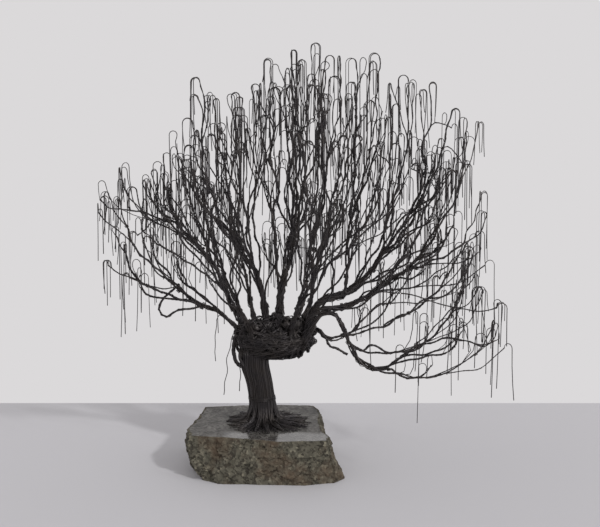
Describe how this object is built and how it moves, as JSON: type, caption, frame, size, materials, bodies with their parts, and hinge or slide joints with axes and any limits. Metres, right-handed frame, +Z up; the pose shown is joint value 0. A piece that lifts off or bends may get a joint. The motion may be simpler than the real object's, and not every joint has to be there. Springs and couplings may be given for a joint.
{
  "type": "wire tree sculpture",
  "caption": "Bare weeping tree twisted from dark iron wire, with a leaning trunk, a wound burl and hooked hanging twig ends, rooted on a split granite block.",
  "frame": {"origin": "on the flat underside of the granite block, below the foot of the trunk", "axes": "+Z up, +X to the right and +Y to the back as seen from the front"},
  "size_m": [0.3698, 0.2278, 0.3822],
  "materials": {
    "split_granite": "rough broken sides, honed top",
    "iron_wire": "dark annealed, satin"
  },
  "bodies": {
    "root": {"granite_base": "split_granite", "roots": "iron_wire", "trunk": "iron_wire", "burl": "iron_wire", "left_low_limb": "iron_wire", "left_low_limb_branch_2": "iron_wire", "left_low_limb_branch_3": "iron_wire", "left_limb": "iron_wire", "left_limb_branch_2": "iron_wire", "left_limb_branch_3": "iron_wire", "left_limb_branch_4": "iron_wire", "left_limb_branch_5": "iron_wire", "left_inner_limb": "iron_wire", "left_inner_limb_branch_2": "iron_wire", "left_inner_limb_branch_3": "iron_wire", "left_inner_limb_branch_4": "iron_wire", "left_inner_limb_branch_5": "iron_wire", "left_inner_limb_branch_6": "iron_wire", "centre_limb": "iron_wire", "centre_limb_branch_2": "iron_wire", "centre_limb_branch_3": "iron_wire", "centre_limb_branch_4": "iron_wire", "centre_limb_branch_5": "iron_wire", "centre_limb_branch_6": "iron_wire", "right_upright_limb": "iron_wire", "right_upright_limb_branch_2": "iron_wire", "right_upright_limb_branch_3": "iron_wire", "right_knot_limb": "iron_wire", "right_knot_limb_branch_2": "iron_wire", "right_knot_limb_branch_3": "iron_wire", "right_high_limb": "iron_wire", "right_high_limb_branch_2": "iron_wire", "right_high_limb_branch_3": "iron_wire", "right_high_limb_branch_4": "iron_wire", "right_high_limb_branch_5": "iron_wire", "right_high_limb_branch_6": "iron_wire", "right_fan_limb": "iron_wire", "right_fan_limb_branch_2": "iron_wire", "right_fan_limb_branch_3": "iron_wire", "right_fan_limb_branch_4": "iron_wire", "right_fan_limb_branch_5": "iron_wire", "right_low_limb": "iron_wire", "right_low_limb_branch_2": "iron_wire", "right_low_limb_branch_3": "iron_wire", "right_low_limb_branch_4": "iron_wire", "right_middle_limb": "iron_wire", "right_middle_limb_branch_2": "iron_wire", "front_left_limb": "iron_wire", "front_left_limb_branch_2": "iron_wire", "front_left_limb_branch_3": "iron_wire", "front_right_limb": "iron_wire", "front_right_limb_branch_2": "iron_wire", "front_right_limb_branch_3": "iron_wire", "back_left_limb": "iron_wire", "back_left_limb_branch_2": "iron_wire", "back_left_limb_branch_3": "iron_wire", "back_right_limb": "iron_wire", "back_right_limb_branch_2": "iron_wire", "back_right_limb_branch_3": "iron_wire"}
  },
  "joints": []
}
